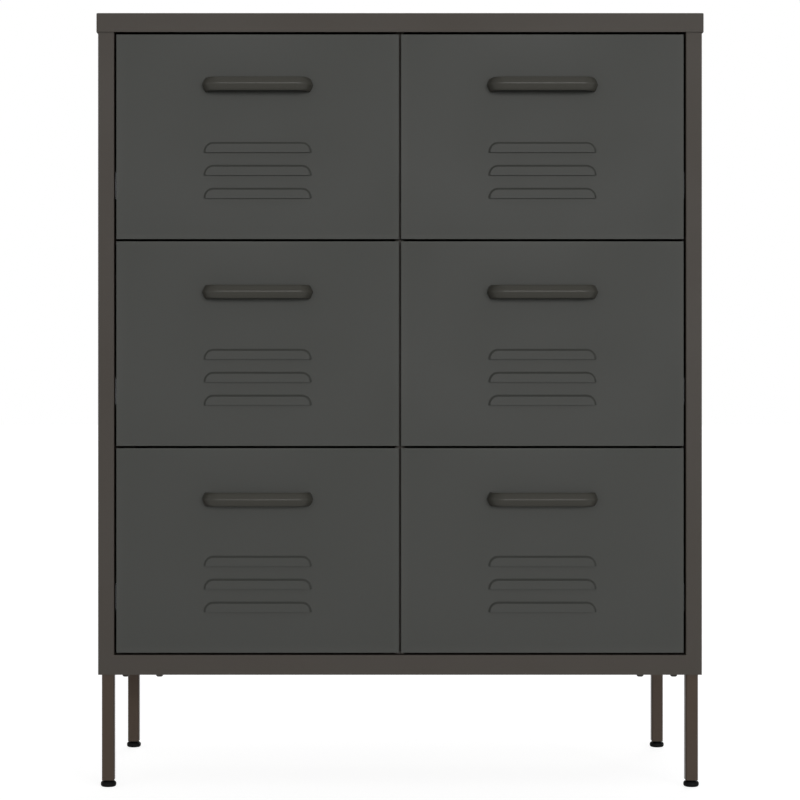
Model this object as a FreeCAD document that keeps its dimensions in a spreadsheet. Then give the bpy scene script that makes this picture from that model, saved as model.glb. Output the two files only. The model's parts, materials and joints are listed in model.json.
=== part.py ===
import FreeCAD, Part
import math
import os
import Sketcher

# A free-standing sheet-steel cabinet with two columns of three drawers on four tube legs.
# Millimetres. The origin is on the floor under the middle, +Z is up and the drawers face -Y.

SIZES = {
    # Overall form
    "cap_width": 800.0,
    "cap_depth": 350.0,
    "cap_height": 25.0,
    "cap_overhang": 2.0,
    "carcass_height": 872.0,
    "leg_drop": 149.0,
    # Sheet metal
    "sheet": 0.8,
    "fold_radius": 0.4,
    "hole_clearance": 0.2,
    # Base tray
    "rail_height": 26.0,
    "lip_width": 20.0,
    # Side panels
    "stile_width": 21.2,
    "stile_depth": 20.0,
    "back_return": 15.0,
    "end_flange": 12.0,
    # Back panel and its fixings
    "back_flange": 12.0,
    "seat_gap": 0.3,
    "wall_hole_diameter": 6.5,
    "wall_hole_spacing": 600.0,
    "wall_hole_drop": 60.0,
    "back_screw_margin": 60.0,
    # Centre divider and slide uprights
    "divider_thickness": 12.0,
    "upright_width": 30.0,
    "upright_flange": 8.0,
    "upright_setback": 12.0,
    # Drawer fronts
    "front_gap": 3.1,
    "front_depth": 15.0,
    "front_lip": 12.0,
    # Louvres
    "louvre_width": 142.5,
    "louvre_height": 14.0,
    "louvre_projection": 3.0,
    "louvre_corner": 13.0,
    "louvre_flank": 2.8,
    "louvre_pitch": 30.2,
    "louvre_drop": 141.6,
    # Handles
    "handle_length": 146.0,
    "handle_height": 18.0,
    "handle_projection": 23.5,
    "handle_thickness": 10.0,
    "handle_crest": 1.4,
    "handle_shoulder": 6.0,
    "handle_rim": 3.0,
    "handle_bend": 18.0,
    "handle_drop": 67.0,
    "handle_hole_depth": 8.0,
    "handle_tail": 5.0,
    # Trays
    "tray_sheet": 0.7,
    "tray_height": 200.0,
    "tray_lift": 12.0,
    # Ball-bearing slides
    "slide_length": 300.0,
    "slide_travel": 215.0,
    "slide_thickness": 12.5,
    "slide_height": 35.0,
    "slide_sheet": 1.2,
    "slide_flange": 10.5,
    "slide_hook": 2.2,
    "ball_space": 4.6,
    "slide_rise": 60.0,
    "cage_sheet": 0.8,
    "cage_reach": 7.5,
    "running_gap": 0.3,
    # Legs
    "leg_tube": 16.0,
    "leg_wall": 1.5,
    "leg_corner": 1.2,
    "leg_inset": 4.5,
    "leg_clearance": 0.4,
    "plate_thickness": 2.5,
    "screw_near": 23.0,
    "screw_pitch": 44.5,
    "plate_margin": 10.5,
    # Levelling feet
    "foot_diameter": 21.0,
    "foot_height": 7.5,
    "foot_bulge": 2.4,
    "neck_diameter": 11.5,
    "neck_height": 1.2,
    "stud_diameter": 8.0,
    "stud_length": 20.0,
    "stud_clearance": 0.08,
    "plug_length": 14.0,
    # Screws
    "leg_screw_diameter": 5.0,
    "leg_screw_head": 9.5,
    "leg_screw_head_height": 3.7,
    "leg_screw_length": 8.0,
    "small_screw_diameter": 4.0,
    "small_screw_head": 8.0,
    "small_screw_head_height": 2.0,
    "back_screw_length": 9.0,
    "handle_screw_length": 7.5,
    # How far cuts run past the faces that they cut
    "overrun": 1.0,
}

LOUVRE_COUNT = 3
BACK_SCREWS_PER_SIDE = 4
ROWS = ("upper", "middle", "lower")
COLUMNS = ("left", "right")
CORNERS = ("front_left", "front_right", "back_right", "back_left")
QUARTER_TURN = 90.0
BEND_STEPS = 3
SCREW_SIDES = 8
FOOT_SIDES = 16

doc = FreeCAD.newDocument("drawer_cabinet")
sheet = doc.addObject("Spreadsheet::Sheet", "Sizes")
for row, (name, number) in enumerate(SIZES.items(), start=1):
    sheet.set(f"A{row}", name)
    sheet.set(f"B{row}", str(number))
    sheet.setAlias(f"B{row}", name)
doc.recompute()


class Size:
    """A length as text for the sheet, with ordinary sums; value is its number."""

    def __init__(self, text):
        self.text = text

    def __add__(self, other):
        return Size(f"({self.text} + {as_text(other)})")

    def __sub__(self, other):
        return Size(f"({self.text} - {as_text(other)})")

    def __mul__(self, factor):
        return Size(f"({self.text} * {as_text(factor)})")

    def __truediv__(self, divisor):
        return Size(f"({self.text} / {as_text(divisor)})")

    def __neg__(self):
        return Size(f"(0 - {self.text})")

    @property
    def value(self):
        return float(sheet.evalExpression(self.text))


class Names:
    """Gives each named size of the sheet as a Size."""

    def __getattr__(self, name):
        return Size(f"Sizes.{name}")


def as_text(amount):
    return amount.text if isinstance(amount, Size) else repr(amount)


size = Names()
ZERO = Size("0")

# Main planes and places
body_half = size.cap_width / 2 - size.cap_overhang
overall_depth = size.cap_depth - size.cap_overhang + size.handle_projection
cap_back = overall_depth / 2
cap_front = cap_back - size.cap_depth
body_back = cap_back - size.cap_overhang
body_front = cap_front + size.cap_overhang
total_height = size.leg_drop + size.carcass_height
base_top = size.leg_drop + size.rail_height
cap_under = total_height - size.sheet
wall_inside = body_half - size.sheet
bay_outside = body_half - size.stile_width
divider_face = size.divider_thickness / 2
front_height = (size.carcass_height - size.cap_height - size.rail_height) / len(ROWS) - (
    size.front_gap * (len(ROWS) + 1) / len(ROWS)
)
front_width = bay_outside - size.front_gap * 3 / 2
front_middle = size.front_gap / 2 + front_width / 2
tray_width = bay_outside - divider_face - size.slide_thickness * 2
tray_middle = (bay_outside + divider_face) / 2
tray_front = body_front + size.front_depth
leg_middle_x = body_half - size.leg_inset - size.leg_tube / 2
front_leg_y = body_front + size.leg_inset + size.leg_tube / 2
back_leg_y = body_back - size.leg_inset - size.leg_tube / 2
leg_bottom = size.foot_height + size.neck_height + size.running_gap
back_inside = body_back - size.sheet
upright_bottom = base_top + size.sheet
upright_top = cap_under - size.sheet


def bind(target, path, amount):
    """Binds one property of an object to the sheet."""
    target.setExpression(path, as_text(amount))


def vector(x, y, z):
    return FreeCAD.Vector(x, y, z)


# Sketches and features

def new_body(label):
    body = doc.addObject("PartDesign::Body", label)
    body.Label = label
    return body


def new_sketch(body, name, role, offset):
    """A sketch on one origin plane of its own body, moved along that plane's normal."""
    sketch = body.newObject("Sketcher::SketchObject", name)
    plane = next(item for item in body.Origin.OriginFeatures if item.Role == role)
    sketch.AttachmentSupport = [(plane, "")]
    sketch.MapMode = "FlatFace"
    bind(sketch, "AttachmentOffset.Base.z", offset)
    return sketch


def pins(element, end, x, y):
    """Constraints that hold one point at named sizes from the sketch's origin, each with its size."""
    held = []
    for kind, amount, axis in (("DistanceX", x, -2), ("DistanceY", y, -1)):
        number = amount.value
        if abs(number) < 1e-9:
            held.append((Sketcher.Constraint("PointOnObject", element, end, axis), None))
        else:
            held.append((Sketcher.Constraint(kind, -1, 1, element, end, number), amount))
    return held


def joined(element, end, other, other_end):
    return Sketcher.Constraint("Coincident", element, end, other, other_end), None


def hold(sketch, held):
    """Adds constraints all at once, and binds those that carry a size."""
    first = len(sketch.Constraints)
    sketch.addConstraint([constraint for constraint, amount in held])
    for index, (constraint, amount) in enumerate(held, start=first):
        if amount is not None:
            bind(sketch, f"Constraints[{index}]", amount)


def add_loop(sketch, points):
    """A closed outline of straight edges."""
    first = sketch.GeometryCount
    places = [vector(x.value, y.value, 0) for x, y in points]
    count = len(points)
    sketch.addGeometry([
        Part.LineSegment(places[index], places[(index + 1) % count]) for index in range(count)
    ], False)
    held = []
    for index in range(count):
        held.append(joined(first + index, 2, first + (index + 1) % count, 1))
        held += pins(first + index, 1, *points[index])
    hold(sketch, held)


def add_circle(sketch, x, y, radius):
    centre = vector(x.value, y.value, 0)
    index = sketch.addGeometry(Part.Circle(centre, vector(0, 0, 1), radius.value), False)
    across = Sketcher.Constraint("Radius", index, radius.value)
    hold(sketch, pins(index, 3, x, y) + [(across, radius)])


def add_round(sketch, x, y, radius, sides=SCREW_SIDES):
    """A round outline drawn with few sides, for a form that comes many times."""
    turns = [2 * math.pi * (index + 1 / 2) / sides for index in range(sides)]
    add_loop(sketch, [(x + radius * math.cos(turn), y + radius * math.sin(turn)) for turn in turns])


def rectangle(left, right, bottom, top):
    return [(left, bottom), (right, bottom), (right, top), (left, top)]


def pad(body, name, sketch, length, backwards=False):
    feature = body.newObject("PartDesign::Pad", name)
    feature.Profile = sketch
    feature.Reversed = backwards
    bind(feature, "Length", length)
    doc.recompute()
    return feature


def pocket(body, name, sketch, length, backwards=False):
    """Cuts a sketch into the body, and stops if it cut nothing."""
    before = body.Shape.Volume
    feature = body.newObject("PartDesign::Pocket", name)
    feature.Profile = sketch
    feature.Reversed = backwards
    bind(feature, "Length", length)
    doc.recompute()
    if feature.Shape.Volume > before - 1e-6:
        raise RuntimeError(f"{body.Label}: {name} cuts nothing")
    return feature


def taper(feature, angle):
    """Gives the sides of a pad or pocket a draft."""
    bind(feature, "TaperAngle", angle)
    doc.recompute()


def dress_edges(body, name, kind, path, amount, chosen):
    """Rounds or bevels the edges of the body's tip that the chosen test picks."""
    base = body.Tip
    names = [f"Edge{number}" for number, edge in enumerate(base.Shape.Edges, 1) if chosen(edge)]
    feature = body.newObject(kind, name)
    feature.Base = (base, names)
    bind(feature, path, amount)
    doc.recompute()


def round_edges(body, name, radius, chosen):
    dress_edges(body, name, "PartDesign::Fillet", "Radius", radius, chosen)


def bevel_edges(body, name, amount, chosen):
    dress_edges(body, name, "PartDesign::Chamfer", "Size", amount, chosen)


def hollow(body, name, thickness, open_side):
    """Leaves a skin of the solid, open on the faces that the open_side test picks."""
    base = body.Tip
    names = [f"Face{number}" for number, face in enumerate(base.Shape.Faces, 1) if open_side(face)]
    feature = body.newObject("PartDesign::Thickness", name)
    feature.Base = (base, names)
    feature.Reversed = True
    bind(feature, "Value", thickness)
    doc.recompute()
    return feature


def near(first, second):
    return abs(first - second) < 1e-4


def flat_at(axis, place):
    """A test for faces that lie whole in the plane where an axis has a given value."""
    def test(face):
        box = face.BoundBox
        return near(getattr(box, axis + "Min"), place.value) and near(getattr(box, axis + "Max"), place.value)
    return test


def along(edge, axis):
    """Whether an edge is straight and runs along one axis."""
    box = edge.BoundBox
    return all(getattr(box, other + "Length") < 1e-6 for other in "XYZ" if other != axis)


def inner_line(path, thickness):
    """The other face of a sheet that follows a path of right-angled bends, on the path's left."""
    steps = []
    for (x0, y0), (x1, y1) in zip(path, path[1:]):
        across = x1.value - x0.value
        up = y1.value - y0.value
        length = math.hypot(across, up)
        steps.append((round(across / length), round(up / length)))
    inner = []
    for index, (x, y) in enumerate(path):
        joined = steps[max(index - 1, 0)], steps[min(index, len(steps) - 1)]
        lefts = {(-step[1], step[0]) for step in joined}
        shift_x = sum(left[0] for left in lefts)
        shift_y = sum(left[1] for left in lefts)
        inner.append((x + thickness * shift_x, y + thickness * shift_y))
    return inner


def folded_strip(label, role, offset, path, thickness, length):
    """A sheet strip with sharp bends: its section swept straight."""
    body = new_body(label)
    sketch = new_sketch(body, "section", role, offset)
    add_loop(sketch, path + inner_line(path, thickness)[::-1])
    pad(body, "strip", sketch, length)
    return body


def round_bends(body, path, thickness, radius):
    """Rounds the bends of an upright strip inside and out."""
    def at_bend(edge, places):
        centre = edge.BoundBox.Center
        return along(edge, "Z") and any(
            near(centre.x, x.value) and near(centre.y, y.value) for x, y in places
        )

    outside, inside = [], []
    inner = inner_line(path, thickness)
    for before, here, after, within in zip(path, path[1:], path[2:], inner[1:]):
        turn = (here[0].value - before[0].value) * (after[1].value - here[1].value) - (
            here[1].value - before[1].value
        ) * (after[0].value - here[0].value)
        outside.append(here if turn > 0 else within)
        inside.append(within if turn > 0 else here)
    round_edges(body, "outer_bends", radius + thickness, lambda edge: at_bend(edge, outside))
    round_edges(body, "inner_bends", radius, lambda edge: at_bend(edge, inside))


# Copies and groups of pieces

def copy_of(source, name, x=ZERO, y=ZERO, z=ZERO, turn=0.0, axis=(0, 0, 1)):
    """A linked copy of a piece, turned about an axis and then moved."""
    link = doc.addObject("App::Link", name)
    link.LinkedObject = source
    link.Placement = FreeCAD.Placement(vector(0, 0, 0), FreeCAD.Rotation(vector(*axis), turn))
    for path, amount in (("x", x), ("y", y), ("z", z)):
        bind(link, f"Placement.Base.{path}", amount)
    return link


def group(label, members):
    """One sub-part made of several separate solids, or of one linked copy."""
    compound = doc.addObject("Part::Compound", label)
    compound.Label = label
    compound.Links = members
    return compound


def mirrored(label, source):
    """The same piece for the other side of the cabinet."""
    mirror = doc.addObject("Part::Mirroring", label)
    mirror.Label = label
    mirror.Source = source
    mirror.Normal = vector(1, 0, 0)
    return mirror


# Carcass

def make_top_cap():
    """A folded lid that covers the upper ends of the side and back panels."""
    body = new_body("top_cap")
    half_width = size.cap_width / 2
    sketch = new_sketch(body, "outline", "XY_Plane", total_height - size.cap_height)
    add_loop(sketch, rectangle(-half_width, half_width, cap_front, cap_back))
    pad(body, "block", sketch, size.cap_height)
    round_edges(body, "folds", size.fold_radius + size.sheet, lambda edge: along(edge, "Z"))
    hollow(body, "skin", size.sheet, flat_at("Z", total_height - size.cap_height))
    return body


def leg_screw_places():
    """The four screws of one leg plate, from the middle of its tube."""
    far = size.screw_near + size.screw_pitch
    return [(size.screw_near, ZERO), (far, ZERO), (ZERO, size.screw_near), (ZERO, far)]


def leg_places():
    """Each tube's middle, and the signs of x and y that lead inwards from it."""
    return [
        (-leg_middle_x, front_leg_y, 1, 1),
        (leg_middle_x, front_leg_y, -1, 1),
        (leg_middle_x, back_leg_y, -1, -1),
        (-leg_middle_x, back_leg_y, 1, -1),
    ]


def make_base_tray():
    """A tray that lies open side down; its front wall is the rail below the drawers."""
    body = new_body("base_tray")
    sketch = new_sketch(body, "outline", "XY_Plane", size.leg_drop)
    add_loop(sketch, rectangle(-body_half, body_half, body_front, body_back))
    pad(body, "block", sketch, size.rail_height)
    round_edges(body, "folds", size.fold_radius + size.sheet, lambda edge: along(edge, "Z"))
    hollow(body, "skin", size.sheet, flat_at("Z", size.leg_drop))
    lip_outer = size.sheet / 2
    lip = new_sketch(body, "lip_outline", "XY_Plane", size.leg_drop)
    add_loop(lip, rectangle(lip_outer - body_half, body_half - lip_outer,
                            body_front + lip_outer, body_back - lip_outer))
    inner_x = body_half - size.lip_width
    add_loop(lip, rectangle(-inner_x, inner_x, body_front + size.lip_width, body_back - size.lip_width))
    pad(body, "lips", lip, size.sheet)
    notches = new_sketch(body, "notch_outlines", "XY_Plane", size.leg_drop - size.overrun)
    reach = size.leg_tube / 2 + size.leg_clearance
    depth = size.overrun * 2 + size.sheet
    for middle_x, middle_y, _, _ in leg_places():
        add_loop(notches, rectangle(middle_x - reach, middle_x + reach, middle_y - reach, middle_y + reach))
    pocket(body, "leg_notches", notches, depth, backwards=True)
    radius = size.leg_screw_diameter / 2 + size.hole_clearance
    for corner, (middle_x, middle_y, sign_x, sign_y) in zip(CORNERS, leg_places()):
        holes = new_sketch(body, corner + "_hole_outlines", "XY_Plane", size.leg_drop - size.overrun)
        for x, y in leg_screw_places():
            add_round(holes, middle_x + x * sign_x, middle_y + y * sign_y, radius)
        pocket(body, corner + "_screw_holes", holes, depth, backwards=True)
    return body


def back_screw_heights():
    """Evenly spaced heights of the screws down each side of the back."""
    lowest = base_top + size.back_screw_margin
    highest = cap_under - size.back_screw_margin
    gaps = BACK_SCREWS_PER_SIDE - 1
    return [lowest + (highest - lowest) * index / gaps for index in range(BACK_SCREWS_PER_SIDE)]


def make_left_side_panel():
    """A side wall with its front stile and back return folded from one sheet."""
    path = [
        (-bay_outside, body_front + size.stile_depth),
        (-bay_outside, body_front),
        (-body_half, body_front),
        (-body_half, body_back),
        (size.back_return - body_half, body_back),
    ]
    path = path[::-1]
    height = cap_under - base_top
    body = folded_strip("left_side_panel", "XY_Plane", base_top, path, size.sheet, height)
    round_bends(body, path, size.sheet, size.fold_radius)
    inner = size.sheet / 2 - body_half
    front_end = body_front + size.stile_depth + size.seat_gap
    back_end = back_inside - size.back_flange - size.seat_gap
    for name, level in (("bottom_flange", base_top), ("top_flange", cap_under - size.sheet)):
        sketch = new_sketch(body, name + "_outline", "XY_Plane", level)
        add_loop(sketch, rectangle(inner, size.end_flange - body_half, front_end, back_end))
        pad(body, name, sketch, size.sheet)
    holes = new_sketch(body, "hole_outlines", "XZ_Plane", -(body_back + size.overrun))
    radius = size.small_screw_diameter / 2 + size.hole_clearance
    for level in back_screw_heights():
        add_round(holes, size.back_return / 2 - body_half, level, radius)
    pocket(body, "back_screw_holes", holes, size.overrun * 2 + size.sheet, backwards=True)
    return body


def make_back_panel():
    """A back wall with four flanges folded forwards, between the side panels."""
    half = wall_inside - size.seat_gap
    front = back_inside - size.back_flange
    path = [(half, front), (half, back_inside), (-half, back_inside), (-half, front)]
    body = folded_strip("back_panel", "XY_Plane", base_top, path, size.sheet, cap_under - base_top)
    round_bends(body, path, size.sheet, size.fold_radius)
    fold = size.fold_radius + size.sheet
    for name, level in (("bottom_flange", base_top), ("top_flange", cap_under - size.sheet)):
        sketch = new_sketch(body, name + "_outline", "XY_Plane", level)
        add_loop(sketch, rectangle(fold - half, half - fold, front, back_inside - size.sheet / 2))
        pad(body, name, sketch, size.sheet)
    screw_radius = size.small_screw_diameter / 2 + size.hole_clearance
    for column, side in zip(COLUMNS, (-1, 1)):
        holes = new_sketch(body, column + "_hole_outlines", "XZ_Plane", -(back_inside + size.overrun))
        add_circle(holes, size.wall_hole_spacing / 2 * side, cap_under - size.wall_hole_drop,
                   size.wall_hole_diameter / 2)
        for level in back_screw_heights():
            add_round(holes, (body_half - size.back_return / 2) * side, level, screw_radius)
        pocket(body, column + "_holes", holes, size.overrun * 2 + size.sheet, backwards=True)
    return body


def make_centre_divider():
    """A flat folded box between the two columns of drawers, which carries their inner slides."""
    body = new_body("centre_divider")
    front = tray_front + size.overrun
    back = back_inside - size.back_flange - size.overrun
    sketch = new_sketch(body, "outline", "XY_Plane", base_top)
    add_loop(sketch, rectangle(-divider_face, divider_face, front, back))
    pad(body, "block", sketch, cap_under - base_top)
    hollow(body, "skin", size.sheet,
           lambda face: flat_at("Z", base_top)(face) or flat_at("Z", cap_under)(face))
    return body


def make_left_slide_uprights():
    """Two hat-section posts on the left wall, which carry the outer slides."""
    web = size.sheet + bay_outside
    path = [
        (-wall_inside, size.upright_width + size.upright_flange),
        (-wall_inside, size.upright_width),
        (-web, size.upright_width),
        (-web, ZERO),
        (-wall_inside, ZERO),
        (-wall_inside, -size.upright_flange),
    ]
    post = folded_strip("slide_upright", "XY_Plane", upright_bottom, path, size.sheet,
                        upright_top - upright_bottom)
    front = tray_front + size.upright_setback + size.upright_flange
    back = tray_front + size.slide_length - size.upright_setback - size.upright_width
    posts = [
        copy_of(post, "left_front_upright", y=front),
        copy_of(post, "left_back_upright", y=back),
    ]
    return group("left_slide_uprights", posts)


# Legs and levelling feet

def make_legs():
    """Square tubes, each with an L-shaped fixing plate welded round it."""
    leg = new_body("leg")
    half = size.leg_tube / 2
    outline = new_sketch(leg, "tube_outline", "XY_Plane", leg_bottom)
    add_loop(outline, rectangle(-half, half, -half, half))
    tube_length = base_top - size.sheet - leg_bottom
    pad(leg, "tube_block", outline, tube_length)
    bevel_edges(leg, "tube_corners", size.leg_corner, lambda edge: along(edge, "Z"))
    reach = size.screw_near + size.screw_pitch + size.plate_margin
    plate = new_sketch(leg, "plate_outline", "XY_Plane", size.leg_drop + size.sheet)
    add_loop(plate, [
        (-half, -half),
        (reach, -half),
        (reach, half),
        (half, half),
        (half, reach),
        (-half, reach),
    ])
    pad(leg, "plate", plate, size.plate_thickness)
    bore = new_sketch(leg, "bore_outline", "XY_Plane", leg_bottom - size.overrun)
    inner = half - size.leg_wall
    add_loop(bore, rectangle(-inner, inner, -inner, inner))
    pocket(leg, "bore", bore, tube_length + size.overrun * 2, backwards=True)
    holes = new_sketch(leg, "hole_outlines", "XY_Plane", size.leg_drop)
    for x, y in leg_screw_places():
        add_round(holes, x, y, size.leg_screw_diameter / 2 + size.hole_clearance)
    pocket(leg, "screw_holes", holes, size.sheet + size.plate_thickness + size.overrun, backwards=True)
    return leg


def make_leg_plug():
    """The threaded plug in a tube's lower end."""
    plug = new_body("leg_plug")
    half = size.leg_tube / 2 - size.leg_wall
    outline = new_sketch(plug, "outline", "XY_Plane", leg_bottom)
    add_loop(outline, rectangle(-half, half, -half, half))
    add_circle(outline, ZERO, ZERO, size.stud_diameter / 2 + size.stud_clearance)
    pad(plug, "block", outline, size.plug_length)
    return plug


def make_foot():
    """A levelling foot: a bevelled disc, a short neck and the stud that turns in the plug."""
    foot = new_body("levelling_foot")
    outline = new_sketch(foot, "disc_outline", "XY_Plane", ZERO)
    add_round(outline, ZERO, ZERO, size.foot_diameter / 2, FOOT_SIDES)
    pad(foot, "disc", outline, size.foot_height)
    bevel_edges(foot, "rims", size.foot_bulge, lambda edge: not along(edge, "Z"))
    stem = size.foot_height + size.neck_height
    neck = new_sketch(foot, "neck_outline", "XY_Plane", size.foot_height)
    add_round(neck, ZERO, ZERO, size.neck_diameter / 2, FOOT_SIDES)
    pad(foot, "neck", neck, size.neck_height)
    stud = new_sketch(foot, "stud_outline", "XY_Plane", stem)
    add_circle(stud, ZERO, ZERO, size.stud_diameter / 2)
    pad(foot, "stud", stud, size.stud_length)
    return foot


def make_screw(label, diameter, head, head_height, length):
    """A pan-head screw that points up from its head's seat at the origin."""
    screw = new_body(label)
    for name, radius, reach, downwards in (("head", head / 2, head_height, True),
                                           ("shank", diameter / 2, length, False)):
        outline = new_sketch(screw, name + "_outline", "XY_Plane", ZERO)
        add_round(outline, ZERO, ZERO, radius)
        pad(screw, name, outline, reach, backwards=downwards)
    return screw


def place_corner_pieces():
    """Legs, plugs, feet and leg screws at the four corners."""
    leg = make_legs()
    plug = make_leg_plug()
    foot = make_foot()
    screw = make_screw("leg_screw", size.leg_screw_diameter, size.leg_screw_head,
                       size.leg_screw_head_height, size.leg_screw_length)
    parts = []
    plugs = []
    screws = []
    for index, corner in enumerate(CORNERS):
        x, y, sign_x, sign_y = leg_places()[index]
        turn = QUARTER_TURN * index
        parts.append(group(f"{corner}_leg", [copy_of(leg, f"{corner}_leg_copy", x, y, turn=turn)]))
        parts.append(group(f"{corner}_foot", [copy_of(foot, f"{corner}_foot_copy", x, y)]))
        plugs.append(copy_of(plug, f"{corner}_plug_copy", x, y))
        for number, (across, along_side) in enumerate(leg_screw_places(), start=1):
            name = f"{corner}_screw_{number}"
            screws.append(copy_of(screw, name, x + across * sign_x, y + along_side * sign_y, size.leg_drop))
    parts.append(group("leg_plugs", plugs))
    parts.append(group("leg_screws", screws))
    return parts


# Drawers

def make_drawer_front():
    """A folded front with three pressed louvres, its middle at the origin's height.

    The origin is in the middle of the front's lower edge, on its face.
    """
    front = new_body("drawer_front")
    half = front_width / 2
    sketch = new_sketch(front, "outline", "XY_Plane", ZERO)
    add_loop(sketch, rectangle(-half, half, ZERO, size.front_depth))
    pad(front, "block", sketch, front_height)
    hollow(front, "skin", size.sheet, flat_at("Y", size.front_depth))
    edge = size.sheet / 2
    lips = new_sketch(front, "lip_outline", "XZ_Plane", -size.front_depth)
    add_loop(lips, rectangle(edge - half, half - edge, edge, front_height - edge))
    inner = size.front_lip
    add_loop(lips, rectangle(inner - half, half - inner, inner, front_height - inner))
    pad(front, "lips", lips, size.sheet)
    holes = new_sketch(front, "hole_outlines", "XZ_Plane", size.overrun)
    for side in (-1, 1):
        add_round(holes, handle_screw_x() * side, front_height - size.handle_drop,
                  size.small_screw_diameter / 2 + size.hole_clearance)
    pocket(front, "handle_holes", holes, size.overrun * 2 + size.sheet)
    add_louvres(front)
    return front


def add_louvres(front):
    """Three hoods pressed outwards, each open along its lower edge."""
    lance = front_height - size.louvre_drop - size.louvre_height
    skirt = lance - size.louvre_flank * 2
    flank_slope = size.louvre_flank / size.louvre_projection
    draft = Size(f"atan({flank_slope.text}) * -1")
    hood = new_sketch(front, "hood_outline", "XZ_Plane", ZERO)
    add_loop(hood, louvre_outline(ZERO, skirt))
    outside = pad(front, "hood", hood, size.louvre_projection)
    taper(outside, draft)
    trim = new_sketch(front, "trim_outline", "XZ_Plane", ZERO)
    half = size.louvre_width / 2 + size.overrun
    add_loop(trim, rectangle(-half, half, skirt - size.overrun, lance))
    trimmed = pocket(front, "hood_trim", trim, size.louvre_projection + size.overrun, backwards=True)
    inside = new_sketch(front, "hood_inside_outline", "XZ_Plane", ZERO)
    add_loop(inside, louvre_outline(size.sheet, skirt))
    hollowed = pocket(front, "hood_inside", inside, size.louvre_projection - size.sheet, backwards=True)
    taper(hollowed, draft)
    slot = new_sketch(front, "slot_outline", "XZ_Plane", size.overrun / 4)
    add_loop(slot, louvre_outline(size.sheet, lance))
    cut = pocket(front, "slot", slot, size.sheet + size.overrun)
    pattern = front.newObject("PartDesign::LinearPattern", "louvres")
    pattern.Originals = [outside, trimmed, hollowed, cut]
    pattern.Direction = (hood, ["V_Axis"])
    pattern.Reversed = True
    pattern.Occurrences = LOUVRE_COUNT
    bind(pattern, "Length", size.louvre_pitch * (LOUVRE_COUNT - 1))
    front.Tip = pattern
    doc.recompute()


def louvre_outline(inset, low):
    """A louvre's outline with upper corners rounded in steps, inside the full outline by an inset."""
    half = size.louvre_width / 2 - inset
    radius = size.louvre_corner - inset
    middle = front_height - size.louvre_drop - size.louvre_corner
    turns = [math.pi / 2 * step / BEND_STEPS for step in range(BEND_STEPS + 1)]
    right = [(half - radius + radius * math.cos(turn), middle + radius * math.sin(turn))
             for turn in turns]
    left = [(-x, y) for x, y in right]
    return [(-half, low), (half, low)] + right + left[::-1]


def handle_screw_x():
    return size.handle_length / 2 - size.handle_thickness / 2


def add_bow_line(sketch, half, depth, radius):
    """The line that the handle follows: two legs, two bends in steps and a straight bar.

    The legs run past the seat, and are trimmed there.
    """
    turns = [math.pi / 2 * step / BEND_STEPS for step in range(BEND_STEPS + 1)]
    right = [(half - radius + radius * math.cos(turn), radius - depth - radius * math.sin(turn))
             for turn in turns]
    right = [(half, size.handle_tail)] + right
    left = [(-x, y) for x, y in right]
    points = left + right[::-1]
    places = [vector(x.value, y.value, 0) for x, y in points]
    sketch.addGeometry([Part.LineSegment(one, two) for one, two in zip(places, places[1:])], False)
    last = len(points) - 1
    held = [joined(index - 1, 2, index, 1) for index in range(1, last)]
    for index in range(last):
        held += pins(index, 1, *points[index])
    hold(sketch, held + pins(last - 1, 2, *points[last]))


def make_handle():
    """A bow handle with a low crest along its outside, its origin in the middle of its seat."""
    handle = new_body("handle")
    half_thickness = size.handle_thickness / 2
    half_height = size.handle_height / 2
    half_rim = size.handle_rim / 2
    shoulder = size.handle_shoulder
    path = new_sketch(handle, "path", "XY_Plane", ZERO)
    add_bow_line(path, handle_screw_x(), size.handle_projection - half_thickness, size.handle_bend)
    section = new_sketch(handle, "section", "XZ_Plane", -size.handle_tail)
    outline = [
        (-half_thickness, ZERO),
        (size.handle_crest - half_thickness, -shoulder),
        (-half_rim, -half_height),
        (half_rim, -half_height),
        (half_thickness, -shoulder),
        (half_thickness, shoulder),
        (half_rim, half_height),
        (-half_rim, half_height),
        (size.handle_crest - half_thickness, shoulder),
    ]
    add_loop(section, [(x - handle_screw_x(), z) for x, z in outline])
    bow = handle.newObject("PartDesign::AdditivePipe", "bow")
    bow.Profile = section
    bow.Spine = path
    bow.Transition = "Right corner"
    doc.recompute()
    tails = new_sketch(handle, "tail_outline", "XZ_Plane", ZERO)
    add_loop(tails, rectangle(-size.handle_length, size.handle_length, -half_height * 2, half_height * 2))
    pocket(handle, "seat_trim", tails, size.handle_tail + size.overrun)
    holes = new_sketch(handle, "hole_outlines", "XZ_Plane", -size.overrun)
    for side in (-1, 1):
        add_round(holes, handle_screw_x() * side, ZERO,
                  size.small_screw_diameter / 2 + size.hole_clearance)
    pocket(handle, "screw_holes", holes, size.handle_hole_depth + size.overrun, backwards=True)
    return handle


def make_tray():
    """An open-topped box, its origin in the middle of its front lower edge."""
    tray = new_body("tray")
    half = tray_width / 2
    outline = new_sketch(tray, "outline", "XY_Plane", ZERO)
    add_loop(outline, rectangle(-half, half, ZERO, size.slide_length))
    pad(tray, "block", outline, size.tray_height)
    hollow(tray, "skin", size.tray_sheet, flat_at("Z", size.tray_height))
    return tray


# Ball-bearing slides, seen from the front with the wall at x = 0 and the tray on the right

def make_cabinet_member():
    """The channel that is screwed to the wall."""
    half = size.slide_height / 2
    path = [
        (size.slide_flange, half - size.slide_sheet - size.slide_hook),
        (size.slide_flange, half),
        (ZERO, half),
        (ZERO, -half),
        (size.slide_flange, -half),
        (size.slide_flange, size.slide_sheet + size.slide_hook - half),
    ]
    return folded_strip("cabinet_member", "XZ_Plane", -size.slide_length, path, size.slide_sheet,
                        size.slide_length)


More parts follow.
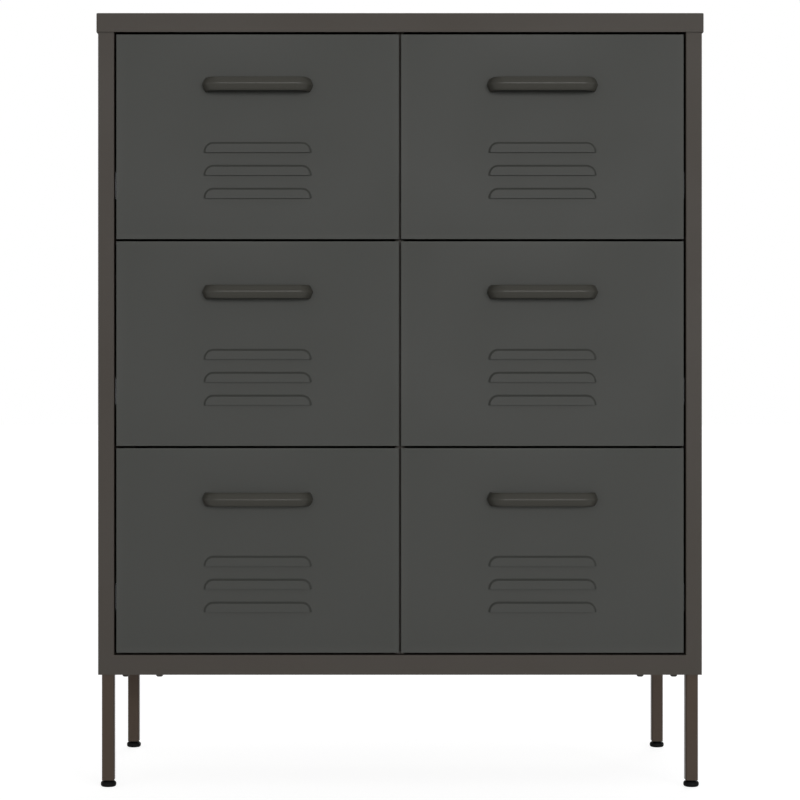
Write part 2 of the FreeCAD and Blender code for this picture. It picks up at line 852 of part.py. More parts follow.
def make_drawer_member():
    """The channel on the tray, which runs inside the other."""
    half = size.slide_height / 2 - size.slide_sheet - size.ball_space
    tip = size.slide_sheet + size.cage_sheet + size.running_gap * 2
    path = [
        (tip, -half),
        (size.slide_thickness, -half),
        (size.slide_thickness, half),
        (tip, half),
    ]
    return folded_strip("drawer_member", "XZ_Plane", -size.slide_length, path, size.slide_sheet,
                        size.slide_length)


def make_ball_cage():
    """The strip that holds the balls between the two channels."""
    half = size.slide_height / 2 - size.slide_sheet - size.ball_space / 2 + size.cage_sheet / 2
    near_wall = size.slide_sheet + size.running_gap
    path = [
        (near_wall + size.cage_reach, half),
        (near_wall, half),
        (near_wall, -half),
        (near_wall + size.cage_reach, -half),
    ]
    length = size.slide_length - size.slide_travel - size.overrun
    return folded_strip("ball_cage", "XZ_Plane", -length, path, size.cage_sheet, length)


def bay_walls(column):
    """The x of both slide walls of a column, and which way each one's slide faces."""
    if column == "left":
        return ((-bay_outside, 0.0), (-divider_face, 2 * QUARTER_TURN))
    return ((divider_face, 0.0), (bay_outside, 2 * QUARTER_TURN))


def slide_pair(source, name, column, y, z):
    """Both slides' pieces for one drawer; the right one is turned to face the left one."""
    return [
        copy_of(source, f"{name}_{side}", x, y, z, turn, axis=(0, 1, 0))
        for side, (x, turn) in zip(("left", "right"), bay_walls(column))
    ]


def place_drawers():
    """All six drawers, with the slides that carry them."""
    front = make_drawer_front()
    handle = make_handle()
    tray = make_tray()
    cabinet_member = make_cabinet_member()
    drawer_member = make_drawer_member()
    cage = make_ball_cage()
    screw = make_screw("handle_screw", size.small_screw_diameter, size.small_screw_head,
                       size.small_screw_head_height, size.handle_screw_length)
    parts = []
    fixed = {}
    cage_y = tray_front + size.slide_travel / 2 + size.overrun / 2
    for row_index, row_name in enumerate(ROWS):
        lift = base_top + size.front_gap + (front_height + size.front_gap) * (len(ROWS) - 1 - row_index)
        slide_z = lift + size.tray_lift + size.slide_rise
        for column in COLUMNS:
            side = -1 if column == "left" else 1
            name = f"{row_name}_{column}"
            x = front_middle * side
            handle_z = lift + front_height - size.handle_drop
            screws = [
                copy_of(screw, f"{name}_handle_screw_{number}", x + handle_screw_x() * way,
                        body_front + size.sheet, handle_z, QUARTER_TURN, (1, 0, 0))
                for number, way in enumerate((-1, 1), start=1)
            ]
            parts += [
                group(f"{name}_drawer_front", [copy_of(front, f"{name}_front_copy", x, body_front, lift)]),
                group(f"{name}_handle", [copy_of(handle, f"{name}_handle_copy", x, body_front, handle_z)]),
                group(f"{name}_handle_screws", screws),
                group(f"{name}_tray", [
                    copy_of(tray, f"{name}_tray_copy", tray_middle * side, tray_front, lift + size.tray_lift)
                ]),
                group(f"{name}_drawer_members",
                      slide_pair(drawer_member, f"{name}_drawer_member", column, tray_front, slide_z)),
                group(f"{name}_ball_cages", slide_pair(cage, f"{name}_cage", column, cage_y, slide_z)),
            ]
            pair = slide_pair(cabinet_member, f"{name}_cabinet_member", column, tray_front, slide_z)
            for wall, member in zip(("left", "right"), pair):
                fixed.setdefault(f"{column}_column_{wall}_runners", []).append(member)
    for label, members in fixed.items():
        parts.append(group(label, members))
    return parts


def make_back_screws():
    """The screws that hold the back panel to the side panels' returns."""
    screw = make_screw("back_screw", size.small_screw_diameter, size.small_screw_head,
                       size.small_screw_head_height, size.back_screw_length)
    screws = []
    for side, column in ((-1, "left"), (1, "right")):
        for number, level in enumerate(back_screw_heights(), start=1):
            screws.append(copy_of(screw, f"back_screw_{column}_{number}",
                                  (body_half - size.back_return / 2) * side, body_back, level,
                                  QUARTER_TURN, (1, 0, 0)))
    return group("back_panel_screws", screws)


left_side = make_left_side_panel()
left_uprights = make_left_slide_uprights()
sub_parts = [
    make_top_cap(),
    make_base_tray(),
    left_side,
    mirrored("right_side_panel", left_side),
    make_back_panel(),
    make_centre_divider(),
    left_uprights,
    mirrored("right_slide_uprights", left_uprights),
    make_back_screws(),
] + place_corner_pieces() + place_drawers()
doc.recompute()

for item in doc.Objects:
    if "Invalid" in item.State or "Error" in item.State:
        raise RuntimeError(f"{item.Label} failed: {item.State}")
for piece in sub_parts:
    if piece.Shape.isNull() or not piece.Shape.isValid():
        raise RuntimeError(f"{piece.Label} has no valid shape")
os.makedirs("parts", exist_ok=True)
for piece in sub_parts:
    piece.Shape.exportStep(f"parts/{piece.Label}.step")
print(len(sub_parts), "sub-parts,", sum(len(piece.Shape.Solids) for piece in sub_parts), "solids")
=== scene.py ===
import json
import math

import bmesh
import bpy
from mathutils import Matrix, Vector

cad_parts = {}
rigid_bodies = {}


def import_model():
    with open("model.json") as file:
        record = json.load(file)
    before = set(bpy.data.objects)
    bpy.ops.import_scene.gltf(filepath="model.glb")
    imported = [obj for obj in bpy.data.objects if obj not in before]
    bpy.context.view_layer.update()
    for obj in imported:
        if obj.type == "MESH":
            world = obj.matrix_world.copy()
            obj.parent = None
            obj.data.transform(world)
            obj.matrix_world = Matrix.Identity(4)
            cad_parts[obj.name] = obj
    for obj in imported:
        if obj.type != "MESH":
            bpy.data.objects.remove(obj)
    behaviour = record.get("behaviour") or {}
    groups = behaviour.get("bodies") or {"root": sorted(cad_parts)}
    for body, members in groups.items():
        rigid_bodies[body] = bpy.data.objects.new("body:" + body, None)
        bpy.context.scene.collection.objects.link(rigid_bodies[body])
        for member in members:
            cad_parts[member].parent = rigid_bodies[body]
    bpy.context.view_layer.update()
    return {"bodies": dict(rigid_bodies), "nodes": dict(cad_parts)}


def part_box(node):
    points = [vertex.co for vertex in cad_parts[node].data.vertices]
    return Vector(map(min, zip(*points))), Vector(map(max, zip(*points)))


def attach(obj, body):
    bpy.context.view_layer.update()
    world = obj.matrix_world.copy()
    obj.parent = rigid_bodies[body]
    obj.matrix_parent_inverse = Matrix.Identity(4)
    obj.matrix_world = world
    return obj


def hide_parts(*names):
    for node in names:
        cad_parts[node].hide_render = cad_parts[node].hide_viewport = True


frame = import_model()
nodes = frame["nodes"]
bodies = frame["bodies"]

# Materials


def new_material(name):
    """A material with its node tree and its main shader."""
    material = bpy.data.materials.new(name)
    material.use_nodes = True
    tree = material.node_tree
    return material, tree, tree.nodes["Principled BSDF"]


def noise(tree, source, scale, detail=2.0, roughness=0.5):
    node = tree.nodes.new("ShaderNodeTexNoise")
    node.inputs["Scale"].default_value = scale
    node.inputs["Detail"].default_value = detail
    node.inputs["Roughness"].default_value = roughness
    tree.links.new(source, node.inputs["Vector"])
    return node.outputs["Fac"]


def ranged(tree, value, low, high, start=0.0, end=1.0):
    """A value from start to end, spread over low to high."""
    node = tree.nodes.new("ShaderNodeMapRange")
    node.inputs["From Min"].default_value = start
    node.inputs["From Max"].default_value = end
    node.inputs["To Min"].default_value = low
    node.inputs["To Max"].default_value = high
    tree.links.new(value, node.inputs["Value"])
    return node.outputs["Result"]


def mixed(tree, factor, first, second):
    """Two colours mixed by a factor; each may be a colour or a socket."""
    node = tree.nodes.new("ShaderNodeMix")
    node.data_type = "RGBA"
    tree.links.new(factor, node.inputs["Factor"])
    for name, colour in (("A", first), ("B", second)):
        socket = [s for s in node.inputs if s.name == name and s.type == "RGBA"][0]
        if isinstance(colour, tuple):
            socket.default_value = (*colour, 1.0)
        else:
            tree.links.new(colour, socket)
    return [s for s in node.outputs if s.type == "RGBA"][0]


def scaled(colour, share):
    return tuple(channel * share for channel in colour)


def calculated(tree, operation, *values):
    """The result of a Math node; each value may be a number or a socket."""
    node = tree.nodes.new("ShaderNodeMath")
    node.operation = operation
    for socket, value in zip(node.inputs, values):
        if isinstance(value, float):
            socket.default_value = value
        else:
            tree.links.new(value, socket)
    return node.outputs["Value"]


def axis_values(tree, vector):
    """The X, Y and Z of a vector, by name."""
    node = tree.nodes.new("ShaderNodeSeparateXYZ")
    tree.links.new(vector, node.inputs["Vector"])
    return node.outputs


def bump(tree, height, strength, distance, normal=None):
    node = tree.nodes.new("ShaderNodeBump")
    node.inputs["Strength"].default_value = strength
    node.inputs["Distance"].default_value = distance
    tree.links.new(height, node.inputs["Height"])
    if normal:
        tree.links.new(normal, node.inputs["Normal"])
    return node.outputs["Normal"]


def powder_coat(name, colour, roughness=(0.46, 0.58), grain=900.0, depth=0.00006, coat=0.0, painted_edge_highlight=0.0):
    """Baked powder paint: a fine pebbled skin over a slow, faint drift of tone; the edge option adds a
    painted highlight, a lighter band round the face's edges.
    """
    material, tree, shader = new_material(name)
    coordinates = tree.nodes.new("ShaderNodeTexCoord").outputs
    place = coordinates["Object"]
    drift = noise(tree, place, 5.0, 3.0)
    speckle = noise(tree, place, 1400.0, 1.0)
    pebbles = noise(tree, place, grain, 2.0, 0.6)
    waves = noise(tree, place, 160.0, 1.0)
    drifted = ranged(tree, drift, 0.0, 1.0, 0.35, 0.65)
    tone = mixed(tree, drifted, scaled(colour, 0.955), scaled(colour, 1.045))
    tone = mixed(tree, ranged(tree, speckle, 0.0, 0.35, 0.55, 0.8), tone, scaled(colour, 1.35))
    # Painted highlight: the colour is lightened in a thin band round the edges of the face, where the folds
    # would catch light.
    if painted_edge_highlight:
        axes = axis_values(tree, coordinates["Generated"])
        off_middle = [
            calculated(tree, "ABSOLUTE", calculated(tree, "SUBTRACT", axes[axis], 0.5)) for axis in ("X", "Z")
        ]
        highlight_rim = ranged(tree, calculated(tree, "MAXIMUM", *off_middle), 0.0, 1.0, 0.475, 0.502)
        tone = mixed(tree, highlight_rim, tone, scaled(colour, 1.0 + painted_edge_highlight))
    tree.links.new(tone, shader.inputs["Base Color"])
    tree.links.new(ranged(tree, drift, roughness[0], roughness[1], 0.3, 0.7), shader.inputs["Roughness"])
    shader.inputs["Specular IOR Level"].default_value = 0.18
    if coat:
        shader.inputs["Coat Weight"].default_value = coat
        shader.inputs["Coat Roughness"].default_value = 0.07
    skin = bump(tree, pebbles, 0.35, depth)
    tree.links.new(bump(tree, waves, 0.25, depth, skin), shader.inputs["Normal"])
    return material


def zinc_plate(name, colour=(0.52, 0.53, 0.55), painted_shade_ends=True):
    """Bright zinc on rolled steel: faint spangle and fine lines along the strip; painted shade darkens the
    faces that look to the front or back.
    """
    material, tree, shader = new_material(name)
    coordinates = tree.nodes.new("ShaderNodeTexCoord").outputs
    place = coordinates["Object"]
    stretch = tree.nodes.new("ShaderNodeMapping")
    stretch.inputs["Scale"].default_value = (1.0, 0.02, 1.0)
    tree.links.new(place, stretch.inputs["Vector"])
    lines = noise(tree, stretch.outputs["Vector"], 1500.0, 3.0)
    clouds = noise(tree, place, 60.0, 3.0)
    tone = mixed(tree, ranged(tree, clouds, 0.0, 1.0, 0.3, 0.7), scaled(colour, 0.86), scaled(colour, 1.1))
    # Painted shade: faces that look to the front or back are darkened to a tenth of the zinc colour, so the
    # slide ends in the drawer gaps read dark.
    if painted_shade_ends:
        along = calculated(tree, "ABSOLUTE", axis_values(tree, coordinates["Normal"])["Y"])
        tone = mixed(tree, ranged(tree, along, 0.0, 1.0, 0.85, 0.95), tone, scaled(colour, 0.1))
    tree.links.new(tone, shader.inputs["Base Color"])
    shader.inputs["Metallic"].default_value = 1.0
    tree.links.new(ranged(tree, lines, 0.28, 0.46), shader.inputs["Roughness"])
    tree.links.new(bump(tree, lines, 0.2, 0.00003), shader.inputs["Normal"])
    return material


def moulded_plastic(name, colour=(0.003, 0.003, 0.003)):
    """Black moulded plastic with a fine spark-eroded grain."""
    material, tree, shader = new_material(name)
    place = tree.nodes.new("ShaderNodeTexCoord").outputs["Object"]
    grain = noise(tree, place, 2200.0, 2.0)
    clouds = noise(tree, place, 90.0, 2.0)
    tone = mixed(tree, clouds, scaled(colour, 0.8), scaled(colour, 1.5))
    tree.links.new(tone, shader.inputs["Base Color"])
    shader.inputs["Specular IOR Level"].default_value = 0.06
    tree.links.new(ranged(tree, grain, 0.5, 0.65), shader.inputs["Roughness"])
    tree.links.new(bump(tree, grain, 0.3, 0.00004), shader.inputs["Normal"])
    return material


carcass_paint = powder_coat("carcass_paint", (0.0420, 0.0358, 0.0298))
# The drawer fronts get a painted highlight along their edges.
front_paint = powder_coat("front_paint", (0.0378, 0.0388, 0.0352), painted_edge_highlight=0.12)
handle_paint = powder_coat("handle_paint", (0.0355, 0.0342, 0.0285), (0.36, 0.44), 700.0, 0.00003, 0.045)
leg_paint = powder_coat("leg_paint", (0.0427, 0.0281, 0.0184), (0.44, 0.54))
# The slides' zinc carries painted shade on its front and back faces.
zinc = zinc_plate("zinc_steel")
ball_steel = zinc_plate("ball_steel", (0.60, 0.60, 0.61), painted_shade_ends=False)
plastic = moulded_plastic("black_plastic")
screw_paint = powder_coat("screw_steel", (0.0350, 0.0310, 0.0270), (0.38, 0.48), 1800.0, 0.00002)


def material_of(node):
    if node.endswith("_foot") or node == "leg_plugs":
        return plastic
    if node.endswith("_handle"):
        return handle_paint
    if node.endswith("_drawer_front"):
        return front_paint
    if node.endswith("_leg"):
        return leg_paint
    if "runners" in node or "members" in node or "cages" in node:
        return zinc
    if "screws" in node:
        return screw_paint
    return carcass_paint


for name, node in nodes.items():
    node.data.materials.clear()
    node.data.materials.append(material_of(name))

# Finer pieces in place of plain CAD nodes. Lengths here are in millimetres.

MM = 0.001


def at(x, y, z):
    return Vector((x, y, z)) * MM


def new_piece(name, mesh, material, body, replaced=(), place=(0, 0, 0)):
    """Puts a mesh in the scene as a piece that rides on a CAD body, in place of the replaced nodes."""
    piece = bpy.data.objects.new(name, mesh)
    piece.location = place
    bpy.context.scene.collection.objects.link(piece)
    if not mesh.materials:
        mesh.materials.append(material)
    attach(piece, body)
    if replaced:
        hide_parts(*replaced)


def skin(name, forms, looped=False, sharp=40.0):
    """One smooth mesh of several forms; each is a row of rings of points, closed at its ends or on itself."""
    shape = bmesh.new()
    for rings in forms:
        rows = [[shape.verts.new(point) for point in ring] for ring in rings]
        pairs = list(zip(rows, rows[1:]))
        if looped:
            pairs.append((rows[-1], rows[0]))
        else:
            shape.faces.new(rows[0])
            shape.faces.new(rows[-1])
        for lower, upper in pairs:
            for index in range(len(lower)):
                after = (index + 1) % len(lower)
                shape.faces.new((lower[index], lower[after], upper[after], upper[index]))
    bmesh.ops.recalc_face_normals(shape, faces=shape.faces)
    mesh = bpy.data.meshes.new(name)
    shape.to_mesh(mesh)
    shape.free()
    mesh.shade_smooth()
    mesh.set_sharp_from_angle(angle=math.radians(sharp))
    return mesh


def sheet_metal(name, polygons, thickness=0.8, fold=1.2, steps=3):
    """Folded sheet from the flat faces of its outside: folds rounded, thickness added inwards.

    The first polygon faces outwards.
    """
    shape = bmesh.new()
    for polygon in polygons:
        shape.faces.new([shape.verts.new(point) for point in polygon])
    bmesh.ops.remove_doubles(shape, verts=shape.verts, dist=1e-6)
    shape.faces.ensure_lookup_table()
    facing = shape.faces[0].normal.copy()
    bmesh.ops.recalc_face_normals(shape, faces=shape.faces)
    shape.faces.ensure_lookup_table()
    if shape.faces[0].normal.dot(facing) < 0:
        bmesh.ops.reverse_faces(shape, faces=shape.faces)
    mesh = bpy.data.meshes.new(name)
    shape.to_mesh(mesh)
    shape.free()
    draft = bpy.data.objects.new(name, mesh)
    bpy.context.scene.collection.objects.link(draft)
    bevel = draft.modifiers.new("folds", "BEVEL")
    bevel.width = fold * MM
    bevel.segments = steps
    bevel.limit_method = "ANGLE"
    bevel.angle_limit = math.radians(40)
    solid = draft.modifiers.new("thickness", "SOLIDIFY")
    solid.thickness = thickness * MM
    solid.offset = -1
    solid.use_even_offset = True
    evaluated = draft.evaluated_get(bpy.context.evaluated_depsgraph_get())
    finished = bpy.data.meshes.new_from_object(evaluated)
    bpy.data.objects.remove(draft)
    return finished


def circle(radius, count=32):
    """A round ring outline, as x and y."""
    turns = [2 * math.pi * index / count for index in range(count)]
    return [(radius * math.cos(turn), radius * math.sin(turn)) for turn in turns]


def cross(arm, width, count=32):
    """The outline of a cross recess, as x and y."""
    outline = []
    for x, y in circle(1.0, count):
        across, along = max(abs(x), abs(y)), max(min(abs(x), abs(y)), 1e-6)
        reach = min(arm / across, width / 2 / along)
        outline.append((x * reach, y * reach))
    return outline


def solid_boxes(node):
    """The lowest and highest corner of each separate solid in a CAD node."""
    mesh = nodes[node].data
    keys = [tuple(round(c, 6) for c in vertex.co) for vertex in mesh.vertices]
    leader = {key: key for key in keys}

    def find(key):
        while leader[key] != key:
            key = leader[key]
        return key

    for polygon in mesh.polygons:
        first = find(keys[polygon.vertices[0]])
        for vertex in polygon.vertices[1:]:
            leader[find(keys[vertex])] = first
    solids = {}
    for key in leader:
        solids.setdefault(find(key), []).append(key)
    boxes = [
        (Vector(min(p[axis] for p in points) for axis in range(3)),
         Vector(max(p[axis] for p in points) for axis in range(3)))
        for points in solids.values()
    ]
    return sorted(boxes, key=lambda box: tuple(box[0]))


ROWS = ("upper", "middle", "lower")
COLUMNS = ("left", "right")
DRAWERS = [f"{row}_{column}" for row in ROWS for column in COLUMNS]
CORNERS = ("front_left", "front_right", "back_right", "back_left")
FRONT_DEPTH = 15.0
BALLS_IN_ROW = 7
BALL_RADIUS = 2.1


def louvre_edge(half, low, top, radius, depth, steps=10):
    """A louvre's outline at one depth, from its lower left corner over the top to its lower right."""
    turns = [math.pi / 2 * step / steps for step in range(steps + 1)]
    right = [(half - radius + radius * math.cos(turn), top - radius + radius * math.sin(turn))
             for turn in turns]
    left = [(-x, z) for x, z in right]
    outline = [(-half, low)] + left + right[::-1] + [(half, low)]
    return [at(x, depth, z) for x, z in outline]


def drawer_front_mesh(half, height):
    """A folded drawer front with three pressed louvres; its origin is amid its lower edge, on its face."""
    depth, lip = FRONT_DEPTH, 12.0
    louvre_half, louvre_height, corner = 71.25, 14.0, 13.0
    raised, flank, pitch, first_top = 3.0, 2.8, 30.2, height - 141.6
    tops = [first_top - pitch * index for index in (2, 1, 0)]
    polygons = []
    below = [(-half, 0.0), (half, 0.0)]
    levels = [0.0]
    for top in tops:
        low = top - louvre_height
        polygons.append([at(x, 0, z) for x, z in below]
                        + [at(x, 0, low) for x in (half, louvre_half, -louvre_half, -half)])
        edge = louvre_edge(louvre_half, low, top, corner, 0)
        count = len(edge) // 2
        polygons.append([at(-half, 0, low)] + edge[:count] + [at(-half, 0, top)])
        polygons.append([at(half, 0, top)] + edge[count:] + [at(half, 0, low)])
        hood = louvre_edge(louvre_half - flank, low, top - flank, corner - flank, -raised)
        polygons.append(hood[::-1])
        for index in range(len(edge) - 1):
            polygons.append([edge[index], edge[index + 1], hood[index + 1], hood[index]])
        inner = louvre_half - corner
        below = [(x, top) for x in (-half, -inner, inner, half)]
        levels += [low, top]
    levels.append(height)
    polygons.append([at(x, 0, z) for x, z in below] + [at(half, 0, height), at(-half, 0, height)])
    for side in (-half, half):
        polygons.append([at(side, 0, z) for z in levels] + [at(side, depth, height), at(side, depth, 0)])
    for z in (0.0, height):
        polygons.append([at(-half, 0, z), at(half, 0, z), at(half, depth, z), at(-half, depth, z)])
    outer = [(-half, 0.0), (half, 0.0), (half, height), (-half, height)]
    inner = [(lip - half, lip), (half - lip, lip), (half - lip, height - lip), (lip - half, height - lip)]
    for index in range(4):
        after = (index + 1) % 4
        turned_in = (outer[index], outer[after], inner[after], inner[index])
        polygons.append([at(x, depth, z) for x, z in turned_in])
    return sheet_metal("drawer_front", polygons, fold=0.9)


def eased(outline, reach):
    """An outline with each corner rounded; the rounding starts at the given reach from the corner."""
    finer = []
    count = len(outline)
    for index, corner in enumerate(outline):
        corner = Vector(corner)
        ends = []
        for other in (outline[index - 1], outline[(index + 1) % count]):
            side = Vector(other) - corner
            ends.append(corner + side * min(reach / side.length, 0.45))
        amid = corner * 0.5 + (ends[0] + ends[1]) * 0.25
        finer += [tuple(ends[0]), tuple(amid), tuple(ends[1])]
    return finer


def handle_mesh():
    """A cast bow handle with a flat crest between two slopes; its origin is amid its seat."""
    foot_x, reach, radius = 68.0, 18.5, 18.0
    turns = [math.pi / 2 * step / 14 for step in range(15)]
    right = [(foot_x, 0.0, 0.0)] + [
        (foot_x - radius + radius * math.cos(turn), radius - reach - radius * math.sin(turn), turn)
        for turn in turns
    ]
    left = [(-x, y, math.pi - turn) for x, y, turn in right[::-1]]
    front_side = [(5.0, 0.9), (2.6, 6.6), (0.8, 9.0)]
    back_side = [(-1.8, 9.0), (-3.6, 6.0), (-5.0, 0.6)]
    upper = front_side + back_side
    outline = eased(upper + [(out, -up) for out, up in upper[::-1]], 0.5)
    rings = [
        [at(x + out * math.cos(turn), y - out * math.sin(turn), up) for out, up in outline]
        for x, y, turn in right + left
    ]
    count = len(outline)
    for side, ring_end in ((foot_x, 0), (-foot_x, len(rings))):
        bore = [(side + math.copysign(1.0, side) * x, z) for x, z in circle(2.2, count)]
        mouth = [at(x, 0, z) for x, z in bore]
        floor_ring = [at(x, -8, z) for x, z in bore]
        if ring_end == 0:
            rings = [floor_ring, mouth] + rings
        else:
            rings = rings + [mouth, floor_ring]
    return skin("handle", [rings], sharp=30)


def lathe(profile, count=40):
    """Rings for a turned form; the profile is radius and height."""
    return [[at(x, y, z) for x, y in circle(radius, count)] for radius, z in profile]


def foot_mesh():
    """A levelling foot with a soft-edged disc; its origin is on the floor under its stud."""
    profile = [
        (7.4, 0.0), (8.6, 0.25), (9.5, 0.9), (10.08, 1.9), (10.28, 3.1), (10.28, 4.2), (10.05, 5.4),
        (9.5, 6.4), (8.6, 7.1), (7.4, 7.45), (6.2, 7.5), (5.64, 7.7), (5.64, 8.5), (5.4, 8.7),
        (4.0, 8.7), (4.0, 28.3), (3.6, 28.7),
    ]
    return skin("levelling_foot", [lathe(profile)], sharp=50)


def screw_rings(head, height, shank, length):
    """A domed head with a cross recess, seated at zero with its shank pointing up."""
    arm, width = head * 0.27, head * 0.11
    radius = head / 2
    rings = [
        [(x * 0.8, y * 0.8, 0.55 * height - height) for x, y in cross(arm, width)],
        [(x, y, 0.02 * height - height) for x, y in cross(arm, width)],
    ]
    for share, drop in ((0.62, 1.0), (0.8, 0.88), (0.92, 0.68), (0.985, 0.4), (1.0, 0.15), (1.0, 0.0)):
        rings.append([(x, y, -drop * height) for x, y in circle(radius * share)])
    rings.append([(x, y, 0.0) for x, y in circle(shank / 2)])
    rings.append([(x, y, length) for x, y in circle(shank / 2)])
    return rings


def placed(rings, place, forwards=False):
    """Rings moved to a place in metres; forwards turns what points up so that it points to the front."""
    return [
        [place + (at(x, -z, y) if forwards else at(x, y, z)) for x, y, z in ring]
        for ring in rings
    ]


def ball_rings(place, radius):
    """A ball as rings, round a place in metres."""
    turns = [math.pi * (step + 0.35) / 8 for step in range(-4, 4)]
    return [
        [place + at(x, y, radius * math.sin(turn)) for x, y in circle(radius * math.cos(turn), 14)]
        for turn in turns
    ]


def dress_drawer(drawer, front_mesh, bow_mesh):
    """A drawer's louvred front, bow handle, rolled tray edge and slide balls."""
    body = f"{drawer}_drawer"
    low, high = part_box(f"{drawer}_drawer_front")
    new_piece(f"{drawer}_louvred_front", front_mesh, front_paint, body,
              [f"{drawer}_drawer_front"], ((low.x + high.x) / 2, high.y - FRONT_DEPTH * MM, low.z))
    low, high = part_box(f"{drawer}_handle")
    new_piece(f"{drawer}_bow_handle", bow_mesh, handle_paint, body,
              [f"{drawer}_handle"], ((low.x + high.x) / 2, high.y, (low.z + high.z) / 2))
    new_piece(f"{drawer}_tray_hem", tray_hem_mesh(*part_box(f"{drawer}_tray")), carcass_paint, body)
    balls = []
    for low, high in solid_boxes(f"{drawer}_ball_cages"):
        for z in (low.z + 0.4 * MM, high.z - 0.4 * MM):
            for step in range(BALLS_IN_ROW):
                y = low.y + (high.y - low.y) * (step + 0.5) / BALLS_IN_ROW
                balls.append(ball_rings(Vector(((low.x + high.x) / 2, y, z)), BALL_RADIUS))
    new_piece(f"{drawer}_slide_balls", skin("slide_balls", balls), ball_steel, f"{drawer}_cages")


def tray_hem_mesh(low, high):
    """The rolled upper edge of a tray, inside the tray's box."""
    hem = []
    for inset, drop in ((0.7, 9.0), (0.7, 0.3), (0.9, 0.0), (1.3, 0.0), (1.5, 0.3), (1.5, 9.0)):
        step = at(inset, inset, 0)
        (x0, y0, _), (x1, y1, _) = low + step, high - step
        z = high.z - drop * MM
        hem.append([Vector((x0, y0, z)), Vector((x1, y0, z)), Vector((x1, y1, z)), Vector((x0, y1, z))])
    return skin("tray_hem", [hem], looped=True)


def dress_screws(node, name, head, height, shank, length, forwards=False):
    """Domed cross-recess heads in place of a node's screws, which point up, or to the front."""
    heads = []
    for low, high in solid_boxes(node):
        middle = (low + high) / 2
        if forwards:
            seat = Vector((middle.x, high.y - height * MM, middle.z))
        else:
            seat = Vector((middle.x, middle.y, low.z + height * MM))
        heads.append(placed(screw_rings(head, height, shank, length), seat, forwards))
    new_piece(name, skin(name, heads), screw_paint, "cabinet", [node])


def dress_cap():
    """The folded top in place of the plain cap."""
    low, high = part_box("top_cap")
    corners = [(low.x, low.y), (high.x, low.y), (high.x, high.y), (low.x, high.y)]
    faces = [[Vector((x, y, high.z)) for x, y in corners]]
    for (x0, y0), (x1, y1) in zip(corners, corners[1:] + corners[:1]):
        faces.append([Vector((x0, y0, low.z)), Vector((x1, y1, low.z)), Vector((x1, y1, high.z)),
                      Vector((x0, y0, high.z))])
    new_piece("folded_top", sheet_metal("folded_top", faces, fold=1.3), carcass_paint, "cabinet",
              ["top_cap"])


low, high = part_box(f"{DRAWERS[0]}_drawer_front")
front_mesh = drawer_front_mesh((high.x - low.x) / 2 / MM, (high.z - low.z) / MM)
bow_mesh = handle_mesh()
for drawer in DRAWERS:
    dress_drawer(drawer, front_mesh, bow_mesh)

turned_foot = foot_mesh()
for corner in CORNERS:
    low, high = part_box(f"{corner}_foot")
    new_piece(f"{corner}_turned_foot", turned_foot, plastic, f"{corner}_levelling_foot",
              [f"{corner}_foot"], ((low.x + high.x) / 2, (low.y + high.y) / 2, low.z))

dress_screws("leg_screws", "leg_screw_heads", 9.5, 3.7, 5.0, 8.0)
dress_screws("back_panel_screws", "back_screw_heads", 8.0, 2.0, 4.0, 9.0, forwards=True)
dress_cap()

# Floor, light and camera


def add_plane(name, centre, half_width, half_depth):
    mesh = bpy.data.meshes.new(name)
    corners = [(-half_width, -half_depth, 0), (half_width, -half_depth, 0),
               (half_width, half_depth, 0), (-half_width, half_depth, 0)]
    mesh.from_pydata([Vector(centre) + Vector(c) for c in corners], [], [(0, 1, 2, 3)])
    plane = bpy.data.objects.new(name, mesh)
    bpy.context.scene.collection.objects.link(plane)
    return plane


def seen_by_eye(tree):
    """One where a ray comes from the camera, a mirror-like surface or glass, otherwise zero."""
    path = tree.nodes.new("ShaderNodeLightPath").outputs
    mirrored = calculated(tree, "MAXIMUM", path["Is Glossy Ray"], path["Is Transmission Ray"])
    return calculated(tree, "MAXIMUM", path["Is Camera Ray"], mirrored)


def floor_material():
    """Pale floor: for the eye part of its brightness is its own, so the shadows on it stay soft and light."""
    material, tree, main_shader = new_material("floor")
    shader_nodes, links = tree.nodes, tree.links
    shader_nodes.remove(main_shader)
    plain = shader_nodes.new("ShaderNodeBsdfDiffuse")
    plain.inputs["Color"].default_value = (0.55, 0.55, 0.55, 1.0)
    shown = shader_nodes.new("ShaderNodeBsdfDiffuse")
    shown.inputs["Color"].default_value = (0.38, 0.38, 0.38, 1.0)
    glow = shader_nodes.new("ShaderNodeEmission")
    glow.inputs["Strength"].default_value = 0.84
    both = shader_nodes.new("ShaderNodeAddShader")
    links.new(shown.outputs["BSDF"], both.inputs[0])
    links.new(glow.outputs["Emission"], both.inputs[1])
    choice = shader_nodes.new("ShaderNodeMixShader")
    links.new(seen_by_eye(tree), choice.inputs["Fac"])
    links.new(plain.outputs["BSDF"], choice.inputs[1])
    links.new(both.outputs["Shader"], choice.inputs[2])
    links.new(choice.outputs["Shader"], shader_nodes["Material Output"].inputs["Surface"])
    return material


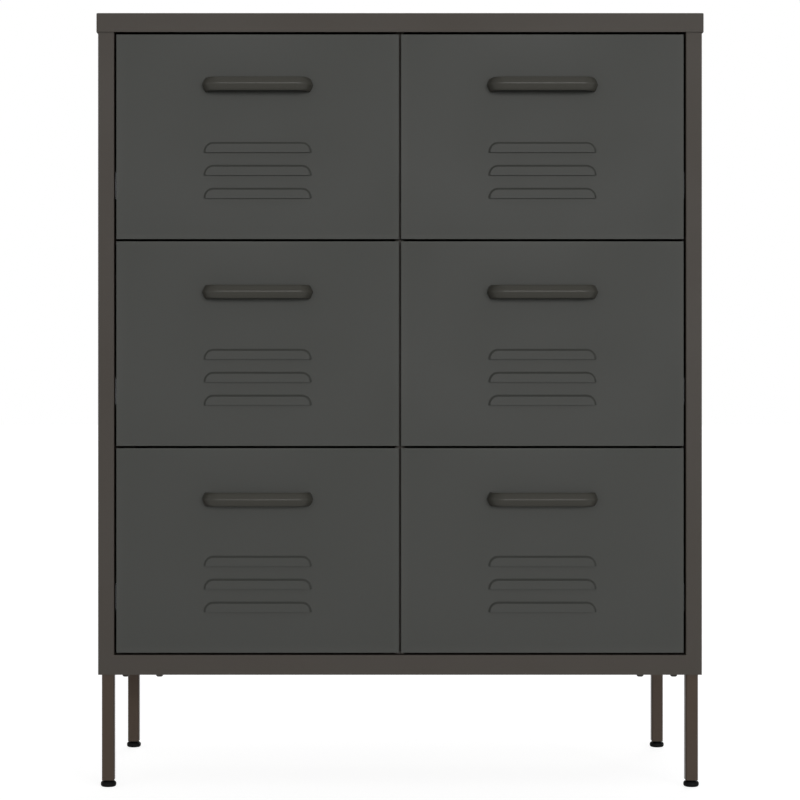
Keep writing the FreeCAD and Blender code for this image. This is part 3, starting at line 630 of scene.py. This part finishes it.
floor = add_plane("floor", (0, 0, 0), 40, 40)
floor.data.materials.append(floor_material())


def make_world():
    """A white studio with a darker ceiling: full white for the eye, softer for the light that it sheds."""
    world = bpy.data.worlds.new("studio")
    world.use_nodes = True
    tree = world.node_tree
    background = tree.nodes["Background"]
    direction = tree.nodes.new("ShaderNodeTexCoord").outputs["Generated"]
    ceiling = ranged(tree, axis_values(tree, direction)["Z"], 1.0, 0.3, 0.35, 0.9)
    level = ranged(tree, seen_by_eye(tree), 0.45, 1.0)
    background.inputs["Color"].default_value = (1.0, 1.0, 1.0, 1.0)
    tree.links.new(calculated(tree, "MULTIPLY", ceiling, level), background.inputs["Strength"])
    bpy.context.scene.world = world


make_world()


def add_sun(name, azimuth, elevation, strength, spread):
    """A far soft light. Azimuth 0 shines from the front and 90 from the right; angles in degrees."""
    lamp = bpy.data.lights.new(name, "SUN")
    lamp.energy = strength
    lamp.angle = math.radians(spread)
    sun = bpy.data.objects.new(name, lamp)
    a, e = math.radians(azimuth), math.radians(elevation)
    source = Vector((math.sin(a) * math.cos(e), -math.cos(a) * math.cos(e), math.sin(e)))
    sun.rotation_mode = "QUATERNION"
    sun.rotation_quaternion = source.to_track_quat("Z", "Y")
    bpy.context.scene.collection.objects.link(sun)


add_sun("front_light", 4, 4, 1.25, 24)
add_sun("key_light", 30, 6, 0.65, 20)
add_sun("fill_light", -30, 6, 0.45, 30)
add_sun("spark_light", 24, 12, 0.3, 2)
add_sun("top_light", 10, 75, 0.3, 50)
add_sun("back_light", 165, 25, 1.0, 40)

camera_data = bpy.data.cameras.new("camera")
camera_data.sensor_width = 36.0
camera_data.lens = 95.6
camera_data.shift_x = 0.055
camera_data.clip_start = 0.05
camera_data.clip_end = 200.0
camera = bpy.data.objects.new("camera", camera_data)
camera.location = (-0.058, -2.962, 0.5112)
camera.rotation_euler = (math.radians(90), 0.0, 0.0)
bpy.context.scene.collection.objects.link(camera)
bpy.context.scene.camera = camera

bpy.context.scene.view_settings.view_transform = "Standard"
